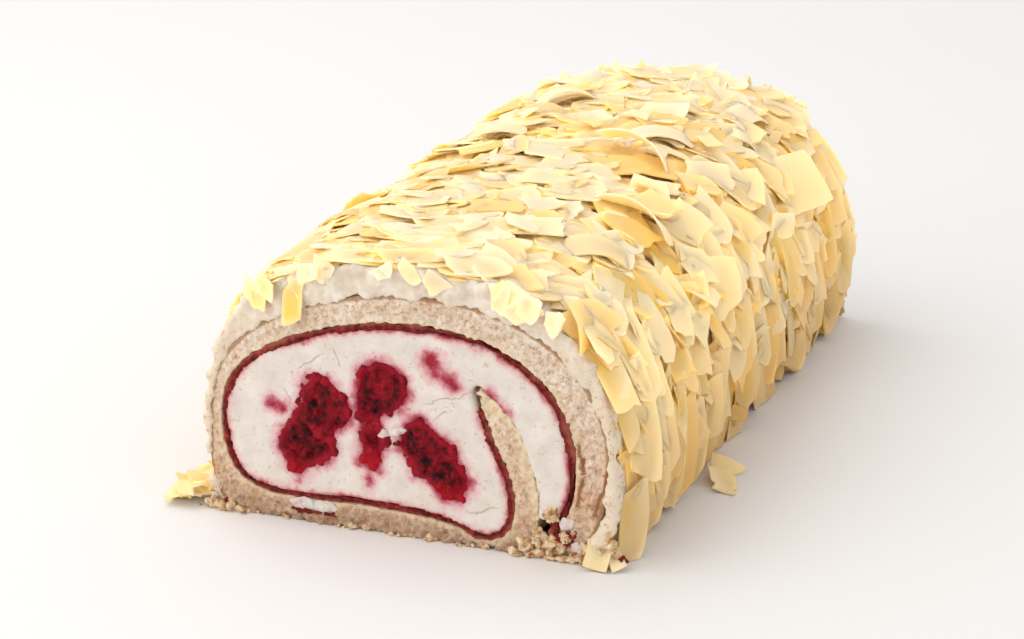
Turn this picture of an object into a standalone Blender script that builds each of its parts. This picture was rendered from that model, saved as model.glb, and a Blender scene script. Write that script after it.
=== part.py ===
"""A cream-filled swiss roll cake, cut across at both ends, built as its real layers.

A sheet of sponge, spread with jam, is rolled round whipped cream and three lines of crushed
berries. The roll wears a coat of cream, and the coat a thick layer of chocolate shavings.

X runs across the roll, +Y along it away from the front cut, and +Z up. The roll stands on the
plane z = 0, and the origin is at the middle of its base. Every length is in metres.
"""

import math
import random

import bmesh
import bpy
from mathutils import Matrix, Vector, noise

MM = 0.001

# Driving dimensions of the whole roll.
ROLL_LENGTH = 180 * MM
COAT_HEIGHT = 66.5 * MM
COAT_HALF_WIDTH = 52.9 * MM
COAT_CENTRE_X = 1.0 * MM

# The clearance that neighbouring layers keep, so that no two solids share a face.
GAP = 0.3 * MM

# The sheet of sponge, followed along its jam side from the inner end to the outer end.
# Each row is x, z and the sponge's thickness there, in millimetres.
SHEET_PATH = (
    (19.0, 37.5, 2.6),  # the inner end, high in the cream
    (22.4, 29.0, 6.4),
    (26.6, 19.0, 6.2),
    (27.9, 10.5, 5.8),  # the inner end's foot
    (25.6, 4.4, 5.6),
    (19.5, 2.2, 3.0),  # the tight turn, pressed thin against the base
    (11.0, 4.9, 5.4),
    (-6.0, 6.3, 6.8),  # the floor
    (-30.0, 5.9, 6.6),
    (-41.5, 8.6, 8.0),
    (-46.4, 18.0, 3.4),  # the left wall, stretched thin
    (-46.2, 29.0, 2.8),
    (-40.5, 38.6, 4.2),
    (-27.0, 46.4, 5.8),
    (-8.0, 51.8, 6.2),  # the crown
    (10.0, 52.6, 6.6),
    (25.0, 49.2, 7.4),
    (36.6, 41.0, 8.2),
    (42.4, 29.0, 8.2),  # the right wall
    (42.2, 16.0, 7.4),
    (39.4, 9.0, 7.4),
    (36.8, 5.4, 6.4),
    (33.6, 4.1, 4.3),  # the outer end, tucked under
)
PATH_STEP = 3.6 * MM
CURVE_FINENESS = 24
END_ROUNDING = 5

JAM_THICKNESS = 1.3 * MM
# The jam stops this share of the path before the sheet's ends.
JAM_ENDS = (0.012, 0.99)

# Behind the sheet's inner end, the cream reaches down to this height.
CREAM_FLOOR = 7.6 * MM

# The arch that the coat and the shavings follow: a superellipse standing on the base.
ARCH_SIDE_POWER = 0.88
ARCH_CROWN_POWER = 0.48
ARCH_FINENESS = 2000
# How far the left and the right foot are tucked in, and up to which height.
FOOT_TUCKS = (0.8 * MM, 5.0 * MM)
TUCK_HEIGHT = 20 * MM

COAT_AROUND = 40
COAT_ALONG = 13
COAT_LEAST = 0.7 * MM
# The coat's right foot ends where the sponge above it comes down to this height.
FOOT_HEIGHT = 0.9 * MM
COAT_HOLLOWS = 2.2 * MM
# How wide, long and high the knife's strokes are.
STROKE_SIZE = (26 * MM, 38 * MM, 18 * MM)

SHAVINGS_AROUND = 56
SHAVINGS_ALONG = 38
SHAVINGS_LEAST = 1.2 * MM
SHAVINGS_SET_BACK = (1.5 * MM, 7.5 * MM)
# The knife wiped the left wall clean up to this share of the way over the arch, this much deeper.
WIPED_SHARE = 0.26
WIPED_DEPTH = 8 * MM
# The layer thins out over the lowest part of both walls.
THINNED_HEIGHT = 22 * MM
THINNED_LEAST = 0.25
TATTER_STEPS = 2.3
HEM_SIZE = 11 * MM
# The drift of shavings: how many flakes, and their length, width and lift.
FLAKE_COUNT = 330
FLAKE_LENGTH = (14 * MM, 26 * MM)
FLAKE_WIDTH = (7 * MM, 12 * MM)
FLAKE_LIFT = (1.8 * MM, 5.6 * MM)
FLAKE_TURN = 0.7
FLAKE_SEED = 7

# The three lines of crushed berries. Each is a middle, in millimetres, and round lobes
# about it, as x, z and radius.
BERRY_LINES = {
    "berries_left": (
        (-22.0, 25.6),
        ((1.8, 6.4, 5.0), (5.0, 3.4, 4.2), (-0.6, -0.6, 5.4), (-5.6, -6.0, 4.4), (0.4, -6.0, 3.8), (-3.0, -11.0, 3.0)),
    ),
    "berries_middle": (
        (-6.3, 30.0),
        ((1.8, 6.6, 6.0), (-1.2, 2.2, 3.8), (-0.8, -5.0, 2.7), (-1.7, -11.4, 2.7)),
    ),
    "berries_right": (
        (7.0, 20.5),
        ((-2.6, 4.2, 4.9), (1.0, 0.0, 5.6), (5.6, -4.8, 3.8), (5.4, -7.8, 2.8)),
    ),
}
BERRY_SPACING = 18 * MM
BERRY_SWELL = 0.10
BERRY_AROUND = 20
BERRY_ALONG = 9

COLOURS = {
    "sponge": ((0.78, 0.60, 0.36), 0.85),
    "jam": ((0.25, 0.012, 0.018), 0.25),
    "cream": ((0.90, 0.84, 0.74), 0.50),
    "berry": ((0.26, 0.008, 0.022), 0.35),
    "chocolate": ((0.92, 0.78, 0.42), 0.40),
}


def clear_scene():
    for old in list(bpy.data.objects):
        bpy.data.objects.remove(old)


def material_of(name):
    """The Principled material of one of the cake's ingredients."""
    colour, roughness = COLOURS[name]
    material = bpy.data.materials.get(name) or bpy.data.materials.new(name)
    material.use_nodes = True
    shader = material.node_tree.nodes["Principled BSDF"]
    shader.inputs["Base Color"].default_value = (*colour, 1.0)
    shader.inputs["Roughness"].default_value = roughness
    shader.inputs["Metallic"].default_value = 0.0
    return material


def collection_of(name, hidden=False):
    found = bpy.data.collections.get(name)
    if found is None:
        found = bpy.data.collections.new(name)
        bpy.context.scene.collection.children.link(found)
        found.hide_render = hidden
    return found


def add_object(name, mesh, ingredient, collection):
    made = bpy.data.objects.new(name, mesh)
    mesh.materials.append(material_of(ingredient))
    collection.objects.link(made)
    return made


def evenly_along(fine, count):
    """count + 1 rows evenly spaced along a line of fine rows, whose first two numbers are x, z."""
    lengths = [0.0]
    for a, b in zip(fine, fine[1:]):
        lengths.append(lengths[-1] + math.dist(a[:2], b[:2]))
    rows, at = [], 0
    for k in range(count + 1):
        wanted = lengths[-1] * k / count
        while at < len(fine) - 2 and lengths[at + 1] < wanted:
            at += 1
        share = (wanted - lengths[at]) / (lengths[at + 1] - lengths[at])
        rows.append([a + (b - a) * share for a, b in zip(fine[at], fine[at + 1])])
    return rows


def smooth_between(p, q, r, s, t):
    """A Catmull-Rom spline's value between q and r."""
    bend = (2 * p - 5 * q + 4 * r - s) * t**2
    twist = (3 * q - p - 3 * r + s) * t**3
    return 0.5 * (2 * q + (r - p) * t + bend + twist)


def curve_through(rows, step):
    """Rows about a step apart on the smooth curve through the given rows."""
    ends = [rows[0], *rows, rows[-1]]
    fine = []
    for corner in zip(ends, ends[1:], ends[2:], ends[3:]):
        for k in range(CURVE_FINENESS):
            fine.append([smooth_between(*numbers, k / CURVE_FINENESS) for numbers in zip(*corner)])
    fine.append(list(rows[-1]))
    length = sum(math.dist(a[:2], b[:2]) for a, b in zip(fine, fine[1:]))
    return evenly_along(fine, round(length / step))


def outward_normals(points):
    """Unit normals that point away from the cream, on the sponge's side of the path."""
    normals = []
    for k in range(len(points)):
        before, after = points[max(k - 1, 0)], points[min(k + 1, len(points) - 1)]
        along = Vector((after[0] - before[0], after[1] - before[1])).normalized()
        normals.append(Vector((-along.y, along.x)))
    return normals


def offset_path(points, normals, distances):
    """The path moved outwards by the given distances, and kept above the base."""
    moved = []
    for point, normal, distance in zip(points, normals, distances):
        place = Vector(point[:2]) + normal * distance
        moved.append((place.x, max(place.y, 0.0)))
    return moved


def round_end(start, finish, bulge):
    """Points between two sides of a layer, on the arc that closes its end."""
    middle = (Vector(start) + Vector(finish)) / 2
    arm = Vector(start) - middle
    points = []
    for k in range(1, END_ROUNDING):
        angle = math.pi * k / END_ROUNDING
        place = middle + arm * math.cos(angle) + Vector(bulge) * arm.length * math.sin(angle)
        points.append((place.x, max(place.y, 0.0)))
    return points


def without_repeats(outline, least=0.05 * MM):
    """The closed outline without points that coincide."""
    kept = []
    for point in outline:
        if not kept or math.dist(point, kept[-1]) > least:
            kept.append(point)
    if math.dist(kept[0], kept[-1]) <= least:
        kept.pop()
    return kept


def extruded_outline(name, outline, ingredient, collection, half_length=ROLL_LENGTH / 2):
    """A filled 2D curve in the XZ plane, extruded along the roll and made a closed mesh."""
    outline = without_repeats(outline)
    curve = bpy.data.curves.new(name, "CURVE")
    curve.dimensions = "2D"
    curve.fill_mode = "BOTH"
    curve.extrude = half_length
    spline = curve.splines.new("POLY")
    spline.points.add(len(outline) - 1)
    spline.use_cyclic_u = True
    for target, (x, z) in zip(spline.points, outline):
        target.co = (x, z, 0.0, 1.0)
    shape = bpy.data.objects.new(name, curve)
    collection.objects.link(shape)
    # The curve is drawn flat, and stands up when it is turned a quarter about X.
    shape.rotation_euler = (math.pi / 2, 0.0, 0.0)
    bpy.context.view_layer.update()
    evaluated = shape.evaluated_get(bpy.context.evaluated_depsgraph_get())
    mesh = bpy.data.meshes.new_from_object(evaluated)
    mesh.transform(shape.matrix_world)
    bpy.data.objects.remove(shape)
    bm = bmesh.new()
    bm.from_mesh(mesh)
    bmesh.ops.remove_doubles(bm, verts=bm.verts, dist=0.001 * MM)
    bmesh.ops.recalc_face_normals(bm, faces=bm.faces)
    bm.to_mesh(mesh)
    bm.free()
    return add_object(name, mesh, ingredient, collection)


class Sheet:
    """The rolled sheet's section: its path, and both faces of the sponge."""

    def __init__(self):
        rows = [(x * MM, z * MM, thick * MM) for x, z, thick in SHEET_PATH]
        self.path = curve_through(rows, PATH_STEP)
        self.normals = outward_normals(self.path)
        self.inner = [(x, max(z, 0.0)) for x, z, _ in self.path]
        self.outer = offset_path(self.path, self.normals, [row[2] for row in self.path])

    def jam_side(self, depth):
        return offset_path(self.path, self.normals, [-depth] * len(self.path))

    def along(self, index):
        """The direction of the path at an end, pointing out of the sheet."""
        a, b = (self.path[1], self.path[0]) if index == 0 else (self.path[-2], self.path[-1])
        return Vector((b[0] - a[0], b[1] - a[1])).normalized()


def make_sponge(sheet, cake):
    inner_end = round_end(sheet.outer[0], sheet.inner[0], sheet.along(0))
    outer_end = round_end(sheet.inner[-1], sheet.outer[-1], sheet.along(-1))
    outline = sheet.inner + outer_end + sheet.outer[::-1] + inner_end
    return extruded_outline("sponge", outline, "sponge", cake)


def make_jam(sheet, cake):
    count = len(sheet.path)
    first, last = round(JAM_ENDS[0] * count), round(JAM_ENDS[1] * count)
    near = sheet.jam_side(GAP)[first:last]
    far = sheet.jam_side(GAP + JAM_THICKNESS)[first:last]
    return extruded_outline("jam", near + far[::-1], "jam", cake)


def cream_outline(sheet):
    """The jam's inner side all the way round, then back up the outside of the inner end."""
    shore = sheet.jam_side(2 * GAP + JAM_THICKNESS)
    # The inner end of the sheet stands in the cream as far down as the cream reaches.
    foot = next(k for k, point in enumerate(sheet.path) if point[1] < CREAM_FLOOR)
    leg = offset_path(sheet.path, sheet.normals, [row[2] + GAP for row in sheet.path])[:foot]
    while shore[-1][1] < CREAM_FLOOR:
        shore.pop()
    over_the_tip = round_end(leg[0], shore[0], sheet.along(0) * 1.2)
    return shore + leg[::-1] + over_the_tip


def lobed_radius(lobes, angle):
    """How far a ray from the middle goes before it leaves the last of the round lobes."""
    ray = Vector((math.cos(angle), math.sin(angle)))
    reach = 0.0
    for x, z, radius in lobes:
        centre = Vector((x, z))
        across = centre.x * ray.y - centre.y * ray.x
        if abs(across) < radius:
            reach = max(reach, centre.dot(ray) + math.sqrt(radius * radius - across * across))
    return reach * MM


def berry_line(name, middle, lobes, collection, swell=0.0, overshoot=0.0):
    """One line of berries: a cylinder along the roll, given the lobes' outline, with a
    swelling for each berry."""
    bm = bmesh.new()
    length = ROLL_LENGTH + 2 * overshoot
    bmesh.ops.create_cone(
        bm, cap_ends=True, segments=BERRY_AROUND, radius1=1.0, radius2=1.0, depth=length,
        matrix=Matrix.Rotation(math.pi / 2, 4, "X"),
    )
    for k in range(1, BERRY_ALONG):
        station = -length / 2 + length * k / BERRY_ALONG
        bmesh.ops.bisect_plane(
            bm, geom=bm.verts[:] + bm.edges[:] + bm.faces[:], plane_co=(0, station, 0), plane_no=(0, 1, 0)
        )
    for vert in bm.verts:
        angle = math.atan2(vert.co.z, vert.co.x)
        along = min(max(vert.co.y, -ROLL_LENGTH / 2), ROLL_LENGTH / 2)
        into = ROLL_LENGTH / 2 - abs(along)
        beat = 1 - BERRY_SWELL * (1 - math.cos(2 * math.pi * into / BERRY_SPACING))
        radius = lobed_radius(lobes, angle) * beat + swell
        vert.co.x = middle[0] * MM + radius * math.cos(angle)
        vert.co.z = middle[1] * MM + radius * math.sin(angle)
    bmesh.ops.recalc_face_normals(bm, faces=bm.faces)
    mesh = bpy.data.meshes.new(name)
    bm.to_mesh(mesh)
    bm.free()
    return add_object(name, mesh, "berry", collection)


def make_filling(sheet, cake, cutters):
    """The cream, with a hole for each line of berries, and the berries in the holes."""
    cream = extruded_outline("cream_filling", cream_outline(sheet), "cream", cake)
    for name, (middle, lobes) in BERRY_LINES.items():
        berry_line(name, middle, lobes, cake)
        hole = berry_line(f"{name}_hole", middle, lobes, cutters, swell=GAP, overshoot=2 * MM)
        hole.hide_render = True
        hole.display_type = "WIRE"
        cut = cream.modifiers.new(name, "BOOLEAN")
        cut.operation = "DIFFERENCE"
        cut.object = hole
    return cream


def arch_point(turn):
    """A point of the arch, for turn from 0 at the left foot to 1 at the right foot."""
    angle = math.pi * (1 - turn)
    side = math.copysign(abs(math.cos(angle)) ** ARCH_SIDE_POWER, math.cos(angle))
    crown = max(math.sin(angle), 0.0) ** ARCH_CROWN_POWER
    height = COAT_HEIGHT * crown
    tuck = FOOT_TUCKS[side > 0] * max(1 - height / TUCK_HEIGHT, 0.0) ** 2
    return [COAT_CENTRE_X + COAT_HALF_WIDTH * side - math.copysign(tuck, side), height]


def arch(count, margin=0.0):
    """count + 1 points evenly spaced round the arch, moved outwards by the margin."""
    points = evenly_along([arch_point(k / ARCH_FINENESS) for k in range(ARCH_FINENESS + 1)], count)
    normals = outward_normals(points)
    # The feet stand square on the base.
    normals[0], normals[-1] = Vector((-1, 0)), Vector((1, 0))
    return offset_path(points, normals, [margin] * len(points))


def arch_normal(x, z):
    """Which way is out of the arch at a point on it."""
    across = (x - COAT_CENTRE_X) / COAT_HALF_WIDTH
    up = max(z, 0.0) / COAT_HEIGHT
    slope_x = math.copysign(abs(across) ** (2 / ARCH_SIDE_POWER - 1), across) / COAT_HALF_WIDTH
    slope_z = up ** (2 / ARCH_CROWN_POWER - 1) / COAT_HEIGHT
    return Vector((slope_x, 0.0, slope_z)).normalized()


def nearest(points, x, z):
    """Which of the points is nearest to a place, or None if it is on none of them."""
    distance, index = min((math.dist((x, z), point), k) for k, point in enumerate(points))
    return index if distance < 0.01 * MM else None


def ringed_shell(name, outer, inner, rings, ingredient, collection):
    """A shell between two outlines, whose outer side alone is cut into rings along the roll."""
    shell = extruded_outline(name, outer + inner[::-1], ingredient, collection)
    bm = bmesh.new()
    bm.from_mesh(shell.data)

    def on_the_outside(face):
        corners = [nearest(outer, vert.co.x, vert.co.z) for vert in face.verts]
        return abs(face.normal.y) < 0.5 and None not in corners

    outside = [face for face in bm.faces if on_the_outside(face)]
    for k in range(1, rings):
        edges = list({edge for face in outside for edge in face.edges})
        verts = list({vert for face in outside for vert in face.verts})
        cut = bmesh.ops.bisect_plane(
            bm, geom=verts + edges + outside, dist=0.001 * MM,
            plane_co=(0, ROLL_LENGTH * (k / rings - 0.5), 0), plane_no=(0, 1, 0),
        )
        outside = [item for item in cut["geom"] if isinstance(item, bmesh.types.BMFace)]
    bm.to_mesh(shell.data)
    bm.free()
    return shell


def coat_inner_side(sheet):
    """The sponge's outside, from the left foot over the crown to the right foot."""
    outside = offset_path(sheet.path, sheet.normals, [row[2] + GAP for row in sheet.path])
    crown = max(range(len(outside)), key=lambda k: outside[k][1])
    left_foot = max(k for k, (_, z) in enumerate(outside) if k < crown and z == 0.0)
    right_foot = min(k for k, (_, z) in enumerate(outside) if k > crown and z < FOOT_HEIGHT)
    return [*outside[left_foot:right_foot], (outside[right_foot][0], 0.0)]


def make_coat(sheet, cake):
    """The coat of cream, spread by a palette knife: hollows and ridges within the arch."""
    outer = arch(COAT_AROUND, -GAP)
    inner = coat_inner_side(sheet)
    coat = ringed_shell("cream_coat", outer, inner, COAT_ALONG, "cream", cake)
    for vert in coat.data.vertices:
        x, y, z = vert.co
        if nearest(outer, x, z) is None:
            continue
        room = min(math.dist((x, z), point) for point in inner)
        along_strokes = Vector(c / size for c, size in zip((x, y, z), STROKE_SIZE))
        stroke = 0.5 + 0.5 * noise.noise(along_strokes)
        out = arch_normal(x, z)
        move = out * -min(COAT_HOLLOWS * stroke, max(room - COAT_LEAST, 0.0))
        vert.co.x += move.x
        vert.co.z = max(z + move.z, 0.0)
    return coat


def scattered_flakes(girth):
    """Shavings scattered over the unrolled arch: where each lies, its size and its lift."""
    chance = random.Random(FLAKE_SEED)
    drift = []
    for _ in range(FLAKE_COUNT):
        around = chance.uniform(0.0, girth)
        drift.append({
            "around": around,
            "along": chance.uniform(-ROLL_LENGTH / 2, ROLL_LENGTH / 2),
            "turn": chance.uniform(-FLAKE_TURN, FLAKE_TURN),
            "length": chance.uniform(*FLAKE_LENGTH),
            "width": chance.uniform(*FLAKE_WIDTH),
            "lift": chance.uniform(*FLAKE_LIFT),
            # Whichever side a flake lies on, its lower end stands off the cake.
            "downhill": 1 if around > girth / 2 else -1,
        })
    return drift


def drift_height(around, along, drift):
    """How high the shavings stand at a place: the highest of the flakes that cover it."""
    height = SHAVINGS_LEAST
    for flake in drift:
        a, b = around - flake["around"], along - flake["along"]
        if abs(a) + abs(b) > flake["length"]:
            continue
        cosine, sine = math.cos(flake["turn"]), math.sin(flake["turn"])
        lengthways, sideways = a * cosine + b * sine, b * cosine - a * sine
        if abs(lengthways) < flake["length"] / 2 and abs(sideways) < flake["width"] / 2:
            slope = flake["downhill"] * lengthways / flake["length"]
            height = max(height, flake["lift"] * (0.6 + 0.8 * slope))
    return height


def make_shavings(cake):
    """The layer of shavings, out to its uneven outline, over the arch of cream."""
    outer, inner = arch(SHAVINGS_AROUND, SHAVINGS_LEAST), arch(SHAVINGS_AROUND)
    shell = ringed_shell("chocolate_shavings", outer, inner, SHAVINGS_ALONG, "chocolate", cake)
    girth = sum(math.dist(a, b) for a, b in zip(inner, inner[1:]))
    drift = scattered_flakes(girth)
    least, most = SHAVINGS_SET_BACK
    for vert in shell.data.vertices:
        x, y, z = vert.co
        on_top = nearest(outer, x, z)
        k = nearest(inner, x, z) if on_top is None else on_top
        # Both ends are ragged: the layer stops a little short of the cuts.
        tatter = 0.5 + 0.5 * noise.noise(Vector((k / TATTER_STEPS, math.copysign(9, y), 0)))
        wiped = WIPED_DEPTH * min(max(WIPED_SHARE - k / SHAVINGS_AROUND, 0.0) * 12, 1.0)
        vert.co.y = y * (1 - (least + (most - least) * tatter + wiped) / (ROLL_LENGTH / 2))
        if k in (0, SHAVINGS_AROUND):
            # The hem is uneven too, and follows the arch up from the base.
            above = inner[1] if k == 0 else inner[-2]
            share = 0.5 + 0.5 * noise.noise(Vector((5, 5, vert.co.y / HEM_SIZE)))
            vert.co.x += (above[0] - inner[k][0]) * share
            vert.co.z = above[1] * share
        if on_top is None:
            continue
        thinned = min(THINNED_LEAST + z / THINNED_HEIGHT * (1 - THINNED_LEAST), 1.0)
        rise = drift_height(girth * k / SHAVINGS_AROUND, vert.co.y, drift) - SHAVINGS_LEAST
        vert.co += arch_normal(*inner[k]) * rise * thinned
    return shell


def centre_on_base(cake):
    """Moves the whole roll so that the origin is at the middle of its base."""
    bpy.context.view_layer.update()
    corners = [part.matrix_world @ Vector(corner) for part in cake.objects for corner in part.bound_box]
    low = Vector(min(c[i] for c in corners) for i in range(3))
    high = Vector(max(c[i] for c in corners) for i in range(3))
    shift = Matrix.Translation(-Vector(((low.x + high.x) / 2, (low.y + high.y) / 2, low.z)))
    for thing in bpy.data.objects:
        thing.data.transform(shift)


def main():
    clear_scene()
    cake = collection_of("swiss_roll_cake")
    cutters = collection_of("cutters", hidden=True)
    sheet = Sheet()
    make_sponge(sheet, cake)
    make_jam(sheet, cake)
    make_filling(sheet, cake, cutters)
    make_coat(sheet, cake)
    make_shavings(cake)
    centre_on_base(cake)


main()
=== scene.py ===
# %% [markdown]
# # A cream roulade under white chocolate shavings
#
# The frame is the cake's construction: a sheet of sponge rolled round cream and berries, a coat of
# cream, and a rough shell where the shavings go. This lesson dresses it. Everything is in metres,
# and the cake stands on the plane z = 0, with its two cut ends facing -Y and +Y.

# %% Load the frame
import math
import random

import bpy
import numpy as np
from mathutils import Matrix, Vector
from mathutils.bvhtree import BVHTree


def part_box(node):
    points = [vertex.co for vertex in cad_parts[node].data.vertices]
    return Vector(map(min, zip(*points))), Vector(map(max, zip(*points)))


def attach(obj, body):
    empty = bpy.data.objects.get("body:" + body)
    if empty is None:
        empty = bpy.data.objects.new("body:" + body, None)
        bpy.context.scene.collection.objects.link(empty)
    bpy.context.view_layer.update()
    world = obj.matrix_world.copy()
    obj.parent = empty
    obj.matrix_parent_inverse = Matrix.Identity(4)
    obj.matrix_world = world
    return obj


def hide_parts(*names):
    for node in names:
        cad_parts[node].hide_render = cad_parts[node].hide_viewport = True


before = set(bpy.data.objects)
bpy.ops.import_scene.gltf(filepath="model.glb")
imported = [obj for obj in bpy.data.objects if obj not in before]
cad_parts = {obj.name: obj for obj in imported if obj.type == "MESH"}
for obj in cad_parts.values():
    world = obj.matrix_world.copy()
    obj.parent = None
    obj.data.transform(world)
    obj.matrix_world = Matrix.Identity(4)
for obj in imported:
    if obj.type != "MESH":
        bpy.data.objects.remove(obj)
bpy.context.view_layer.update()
# The frame's nodes come in selected, and an operator would act on them too.
bpy.ops.object.select_all(action="DESELECT")

MM = 0.001
sponge_low, sponge_high = (Vector(corner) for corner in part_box("sponge"))
FRONT_Y, BACK_Y = sponge_low.y, sponge_high.y
# The middle of the cut, from which places in the section are measured.
MIDDLE_X = (sponge_low.x + sponge_high.x) / 2 - 0.35 * MM
print("the roll is", round((BACK_Y - FRONT_Y) / MM), "mm long, and its nodes are", sorted(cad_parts))

# %% [markdown]
# ## The camera
#
# The cake is seen from a little above and from its front right, through a long lens, which keeps
# the far end nearly as large as the near one. The camera is placed by two angles and a distance
# from a target, as a photographer would put it down, and then rolled by less than a degree.

# %% Place the camera
CAMERA_AZIMUTH, CAMERA_ELEVATION, CAMERA_ROLL = (math.radians(a) for a in (22.68, 19.65, -0.89))
CAMERA_DISTANCE = 676.2 * MM
CAMERA_LENS = 106.5
target = Vector((MIDDLE_X + 27.67 * MM, FRONT_Y, 56.99 * MM))

backwards = Vector((
    math.sin(CAMERA_AZIMUTH) * math.cos(CAMERA_ELEVATION),
    -math.cos(CAMERA_AZIMUTH) * math.cos(CAMERA_ELEVATION),
    math.sin(CAMERA_ELEVATION),
))
level = backwards.cross(Vector((0, 0, -1))).normalized()
upwards = backwards.cross(level)
sideways = level * math.cos(CAMERA_ROLL) + upwards * math.sin(CAMERA_ROLL)
upwards = backwards.cross(sideways)
bpy.ops.object.camera_add()
camera = bpy.context.object
camera.data.lens = CAMERA_LENS
camera.data.clip_start, camera.data.clip_end = 0.05, 20
camera.matrix_world = Matrix.LocRotScale(
    target + backwards * CAMERA_DISTANCE, Matrix((sideways, upwards, backwards)).transposed(), None
)
bpy.context.scene.camera = camera
print("the camera stands at", [round(c, 3) for c in camera.location])

# %% [markdown]
# ## Light and floor
#
# The cake is shown on a bright table in front of a white wall: a pale floor, a sky that is white
# all round, and one large soft lamp above the far left of the cake, which leaves its right side in
# a mild shade.

# %% Light the stage
def linear(hex_colour):
    """An sRGB hex colour as linear red, green, blue and alpha."""
    channels = [int(hex_colour[k : k + 2], 16) / 255 for k in (1, 3, 5)]
    return (*[c / 12.92 if c <= 0.04045 else ((c + 0.055) / 1.055) ** 2.4 for c in channels], 1.0)


def add_node(material, kind, settings=None, **links):
    """Adds a shader node. Each link names an input and gives its value or the output that feeds it."""
    node = material.node_tree.nodes.new(f"ShaderNode{kind}")
    for name, value in (settings or {}).items():
        setattr(node, name, value)
    for name, value in links.items():
        socket = node.inputs[int(name[1:])] if name[1:].isdigit() else node.inputs[name.replace("_", " ")]
        if isinstance(value, bpy.types.NodeSocket):
            material.node_tree.links.new(value, socket)
        else:
            socket.default_value = value
    return node


def new_material(name, **finish):
    """A material, and its Principled shader with the finish's plain values set."""
    material = bpy.data.materials.new(name)
    material.use_nodes = True
    shader = material.node_tree.nodes["Principled BSDF"]
    for socket, value in finish.items():
        shader.inputs[socket.replace("_", " ")].default_value = value
    return material, shader


bpy.ops.mesh.primitive_plane_add(size=12)
floor = bpy.context.object
floor.name = "floor"
floor_paint, floor_shader = new_material("white_table", Base_Color=linear("#F4F2F1"), Roughness=0.6)
floor_grain = add_node(floor_paint, "TexNoise", Scale=40.0, Detail=3.0)
floor_tone = add_node(floor_paint, "MixRGB", Fac=floor_grain.outputs["Fac"], Color1=linear("#F1EFEE"), Color2=linear("#F6F5F4"))
floor_paint.node_tree.links.new(floor_tone.outputs["Color"], floor_shader.inputs["Base Color"])
floor.data.materials.append(floor_paint)

world = bpy.data.worlds.new("white_room")
world.use_nodes = True
world.node_tree.nodes["Background"].inputs["Color"].default_value = linear("#FBFAFA")
world.node_tree.nodes["Background"].inputs["Strength"].default_value = 0.84
bpy.context.scene.world = world
bpy.context.scene.view_settings.view_transform = "Standard"


def soft_lamp(name, place, size, power, colour):
    """A square lamp at a place in metres, turned to the middle of the cake."""
    bpy.ops.object.light_add(type="AREA", location=place)
    lamp = bpy.context.object
    lamp.name = name
    lamp.data.size = size
    lamp.data.energy = power
    lamp.data.color = linear(colour)[:3]
    lamp.rotation_euler = (Vector(place) - Vector((0, 0, 0.03))).to_track_quat("Z", "Y").to_euler()
    return lamp


soft_lamp("window", (-0.50, -0.05, 0.75), 0.9, 3.4, "#FFFDF8")
soft_lamp("front_window", (-0.55, -0.8, 0.35), 0.6, 1.3, "#FFFDF8")

# %% [markdown]
# ## Tools for shaping
#
# Every layer starts from the frame's own solid, so that it lies exactly where the construction
# says. Its two cut ends are what people look at, so they get a fine skin, and the stretch between
# them, which the other layers hide, stays coarse.

# %% Tools for shaping
def only(piece):
    """Makes a piece the one that operators act on."""
    bpy.ops.object.select_all(action="DESELECT")
    piece.select_set(True)
    bpy.context.view_layer.objects.active = piece


def apply(piece, kind, **settings):
    """Adds a modifier and applies it."""
    only(piece)
    modifier = piece.modifiers.new(kind.lower(), kind)
    for name, value in settings.items():
        setattr(modifier, name, value)
    bpy.ops.object.modifier_apply(modifier=modifier.name)


def triangles(piece):
    return sum(len(face.vertices) - 2 for face in piece.data.polygons)


def slice_of(node, name, low, high):
    """What lies of a node between two stations along the roll, as a closed piece of its own."""
    piece = bpy.data.objects.new(name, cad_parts[node].data.copy())
    bpy.context.collection.objects.link(piece)
    only(piece)
    bpy.ops.object.mode_set(mode="EDIT")
    bpy.ops.mesh.select_all(action="SELECT")
    bpy.ops.mesh.remove_doubles(threshold=0.00001)
    for station, side in ((low, "clear_inner"), (high, "clear_outer")):
        bpy.ops.mesh.select_all(action="SELECT")
        bpy.ops.mesh.bisect(plane_co=(0, station, 0), plane_no=(0, 1, 0), use_fill=True, **{side: True})
    bpy.ops.object.mode_set(mode="OBJECT")
    piece.data.materials.clear()
    return piece


def join(pieces, name):
    """Joins pieces into the first of them."""
    only(pieces[0])
    for piece in pieces:
        piece.select_set(True)
    bpy.ops.object.join()
    pieces[0].name = name
    return pieces[0]


def texture(kind, size, **settings):
    """A texture for the Displace modifier, whose pattern repeats about every size metres."""
    made = bpy.data.textures.new(f"{kind.lower()}_{size / MM:.1f}mm", kind)
    made.noise_scale = size
    for name, value in settings.items():
        setattr(made, name, value)
    return made


def roughen(piece, pattern, depth, middle=0.5, group=""):
    apply(
        piece, "DISPLACE", texture=pattern, texture_coords="LOCAL", strength=depth, mid_level=middle, vertex_group=group
    )


CLOSE_GAP = 0.25 * MM
OVERRUN = 1.0


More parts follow.
